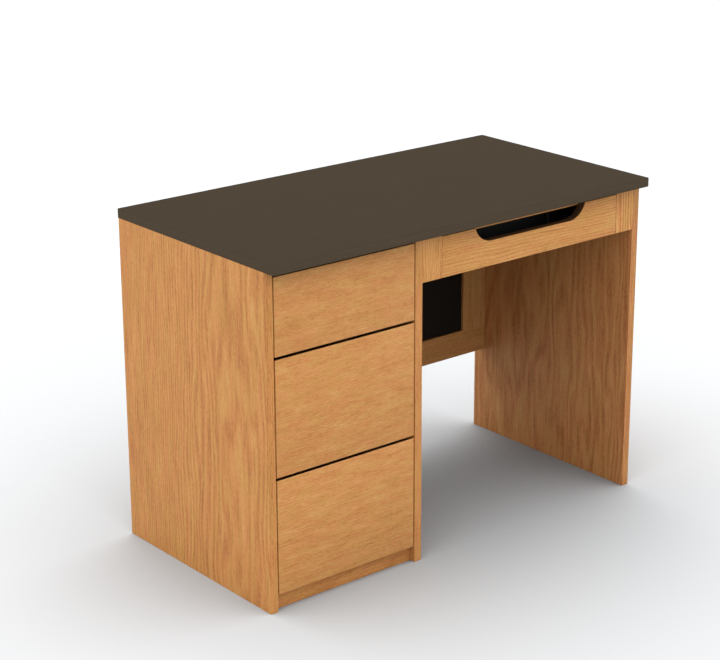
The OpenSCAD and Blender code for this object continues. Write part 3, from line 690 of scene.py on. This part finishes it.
def slide_screws(box, levels, x_face, into, shank):
    """Three screws in each slide of a pair, a tenth, a half and nine tenths of the way along."""
    low, high = box
    shells = []
    for z in levels:
        for share in (0.1, 0.5, 0.9):
            y = low.y + (high.y - low.y) * share
            shells.append(screw((low.x + x_face, y, z), (into, 0, 0), shank))
            shells.append(screw((high.x - x_face, y, z), (-into, 0, 0), shank))
    return shells


SLIDE = 12.7 * MM
ROOM = 463 * MM                          # clear depth behind the fronts
# lengths of the screws' shanks in mm, and how far some sit in from their board's ends
IN_PANEL, IN_ANGLE, IN_BOX, IN_TRAY = 13, 14, 10.2, 3.7
IN_TOP_RAIL, IN_KNEE_RAIL, IN_FRONT, IN_TRAY_WALL = 31, 34, 24, 14.5
TOP_RAIL_INSET, KNEE_RAIL_INSET, FRONT_INSET = 101.25 * MM, 53 * MM, 50.625 * MM
under = band_lo.z
box_x = (pedestal_box[0].x + SLIDE, pedestal_box[1].x - SLIDE)
fixings = slide_screws(pedestal_box, heights.values(), STEEL, -1, IN_PANEL)
fixings += slide_screws(pencil_box, [pencil_level], STEEL, -1, IN_PANEL)
panel_faces = [(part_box("left_side_panel")[1].x, 1), (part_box("pedestal_inner_panel")[0].x, -1),
               (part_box("pedestal_inner_panel")[1].x, 1), (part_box("right_end_panel")[0].x, -1),
               (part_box("left_runner_board")[0].x, -1), (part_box("right_runner_board")[1].x, 1)]
# shares of the room, measured from the middle of the desk
bracket_rows = [(1 / 8, 1 / 3), (1 / 8, 1 / 3), (-1 / 3, 1 / 4), (-1 / 3, 1 / 4), (-1 / 6, 0), (-1 / 6, 0)]
brackets = [(x, hand, share * ROOM) for (x, hand), row in zip(panel_faces, bracket_rows) for share in row]
PLATE, HOLE = 2 * MM, 15.5 * MM
for x, hand, y in brackets:
    fixings.append(screw((x + hand * PLATE, y, under - HOLE), (-hand, 0, 0), IN_ANGLE))
    fixings.append(screw((x + hand * HOLE, y, under - PLATE), (0, 0, 1), IN_ANGLE))
rail_lo, rail_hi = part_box("pedestal_top_rail")
knee_lo, knee_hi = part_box("kneehole_front_rail")
for x in (rail_lo.x + TOP_RAIL_INSET, rail_hi.x - TOP_RAIL_INSET):
    fixings.append(screw((x, (rail_lo.y + rail_hi.y) / 2, rail_lo.z), (0, 0, 1), IN_TOP_RAIL))
for x in (knee_lo.x + KNEE_RAIL_INSET, knee_hi.x - KNEE_RAIL_INSET):
    fixings.append(screw((x, (knee_lo.y + knee_hi.y) / 2, knee_lo.z), (0, 0, 1), IN_KNEE_RAIL))
screw_zinc = zinc_plate("zinc_plated_screws", "#d0d2d2")
piece("wood_screws.pan_head", fixings, screw_zinc, "desk_frame", "zinc_steel", "wood_screws", sharp=35)
for n, level in heights.items():
    low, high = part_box(f"drawer_{n}_inner_front")
    fronts = [screw((x, high.y, low.z + (high.z - low.z) * share), (0, -1, 0), IN_FRONT)
              for x in (box_x[0] + FRONT_INSET, box_x[1] - FRONT_INSET) for share in (0.25, 0.75)]
    fronts += slide_screws(pedestal_box, [level], SLIDE - STEEL, 1, IN_BOX)
    piece(f"drawer_{n}_screws.pan_head", fronts, screw_zinc, f"drawer_{n}", "zinc_steel",
          f"drawer_{n}_screws", sharp=35)
trough = [screw((x, tray_lo.y + WALL, (tray_lo.z + tray_hi.z) / 2), (0, -1, 0), IN_TRAY_WALL)
          for x in (tray_lo.x + BIN / 2, (tray_lo.x + tray_hi.x) / 2, tray_hi.x - BIN / 2)]
trough += slide_screws(pencil_box, [pencil_level], SLIDE - STEEL, 1, IN_TRAY)
piece("pencil_screws.pan_head", trough, screw_zinc, "pencil_drawer", "zinc_steel", "pencil_screws", sharp=35)

# ---- Brackets under the desktop ------------------------------------------------------------
# Twelve angle brackets, 20 mm of 2 mm zinc-plated strip bent square, screwed both ways.
LEG, BRACKET_W = 25 * MM, 20 * MM
angles = []
for x, hand, y in brackets:
    outline = bent_strip([(PLATE / 2, LEG), (PLATE / 2, PLATE / 2), (LEG, PLATE / 2)], PLATE, 2.2 * MM, 6)
    across, down = x + hand * outline[:, 0], under - outline[:, 1]
    loops = [np.column_stack([across, np.full(len(outline), y + half), down])
             for half in (-BRACKET_W / 2, BRACKET_W / 2)]
    angles.append(turned_right(loft(loops), len(outline)))
piece("top_brackets.bent", angles, plated, "desk_frame", "zinc_steel", "top_brackets", sharp=35)

# ---- Cams, bolts and core ------------------------------------------------------------------
# Die-cast cams turned flush in their housings, the bolts that they pull, and the chipboard
# that shows in no finished face.


def die_cast(name):
    """Zinc die-casting straight from the tool: dull grey metal, lightly mottled and pitted."""
    material, tree = new_material(name)
    mottle = streaks(tree, board_frame(tree, "xyz", (0, 0, 0)), 3, 3, 3)
    tone = add(tree, "ValToRGB", {"Fac": mottle}, ramp=[(0.3, "#8b8c8e"), (0.7, "#a9abad")])
    relief = add(tree, "Bump", {"Strength": 0.4, "Distance": 0.08 * MM, "Height": mottle})
    skin = add(tree, "BsdfPrincipled", {"Base Color": tone, "Metallic": 1.0, "Roughness": 0.52,
                                        "Normal": relief})
    add(tree, "OutputMaterial", {"Surface": skin})
    return material


def chipboard():
    """Pressed chipboard: straw-coloured flakes of many tones, dry and open."""
    material, tree = new_material("pressed_chipboard")
    place = board_frame(tree, "xyz", (0, 0, 0))
    flakes = add(tree, "TexVoronoi", {"Vector": streaks(tree, place, 9, 3, 1).outputs["Color"], "Scale": 9.0})
    chips = add(tree, "Mix", {0: flakes.outputs["Distance"], 6: linear("#c7a26c"), 7: linear("#8d6b42")},
                data_type="RGBA")
    skin = add(tree, "BsdfPrincipled", {"Base Color": chips.outputs[2], "Roughness": 0.85,
                                        "Specular IOR Level": 0.2})
    add(tree, "OutputMaterial", {"Surface": skin})
    return material


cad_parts["connector_cams"].material_slots[0].material = die_cast("die_cast_cam")
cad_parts["connector_bolts"].material_slots[0].material = die_cast("die_cast_bolt")
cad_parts["desktop_core"].material_slots[0].material = chipboard()

# ---- Push latches --------------------------------------------------------------------------
# On the pedestal's back: a grey barrel on a flange, and a white plunger that the drawer's back
# presses in to let the drawer spring open. Acetal, turned smooth.


def acetal(name, dark, light):
    """Moulded acetal: waxy, close and even, with a very faint flow mark."""
    material, tree = new_material(name)
    flow = streaks(tree, board_frame(tree, "yxz", (0, 0, 0)), 20, 2, 1)
    tone = add(tree, "ValToRGB", {"Fac": flow}, ramp=[(0.3, dark), (0.7, light)])
    skin = add(tree, "BsdfPrincipled", {"Base Color": tone, "Roughness": 0.38, "IOR": 1.48})
    add(tree, "OutputMaterial", {"Surface": skin})
    return material


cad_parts["push_latch_barrels"].material_slots[0].material = acetal("grey_acetal", "#5f6264", "#6a6d6f")
for n in (2, 3):
    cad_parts[f"drawer_{n}_plunger"].material_slots[0].material = acetal(f"white_acetal_{n}", "#dcdcd8",
                                                                              "#e8e8e4")

# ---- Light and floor -----------------------------------------------------------------------
# A white light tent, somewhat brighter overhead, over a pale matt floor whose colour is
# darkened by ambient occlusion near the desk: painted shade that deepens its contact shadows.
HORIZON, ZENITH = 0.45, 2.7
OPEN_FLOOR = (0.530, 0.542, 0.552, 1)    # the sheet's colour where nothing stands near it
bpy.context.scene.view_settings.view_transform = "Standard"
tent = bpy.data.worlds.new("white_tent")
tent.use_nodes = True
sky = tent.node_tree
height = add(sky, "SeparateXYZ", {"Vector": add(sky, "TexCoord").outputs["Generated"]})
strength = add(sky, "MapRange", {"Value": height.outputs[2], 3: HORIZON, 4: ZENITH})
sky.links.new(strength.outputs[0], sky.nodes["Background"].inputs["Strength"])
sky.nodes["Background"].inputs["Color"].default_value = (1, 1, 1, 1)
bpy.context.scene.world = tent

material, tree = new_material("pale_matt_floor")
# painted shade: the floor's colour goes darker where ambient occlusion finds the desk near
painted_contact_shade = add(tree, "AmbientOcclusion", {"Distance": 1.5}, samples=12)
painted_contact_shade = add(tree, "Math", {0: painted_contact_shade.outputs["AO"], 1: 0.5}, operation="POWER")
pale = add(tree, "Mix", {0: painted_contact_shade, 6: (0, 0, 0, 1), 7: OPEN_FLOOR}, data_type="RGBA")
skin = add(tree, "BsdfPrincipled", {"Base Color": pale.outputs[2], "Roughness": 0.9,
                                    "Specular IOR Level": 0.0})
add(tree, "OutputMaterial", {"Surface": skin})
reach = np.linspace(-30, 30, 13)
floor_points = np.stack([*np.meshgrid(reach, reach, indexing="ij"), np.zeros((13, 13))], -1).reshape(-1, 3)
mesh = bpy.data.meshes.new("floor")
mesh.from_pydata(floor_points.tolist(), [], grid_faces(13, 13).tolist())
mesh.materials.append(material)
floor = bpy.data.objects.new("floor", mesh)
bpy.context.scene.collection.objects.link(floor)
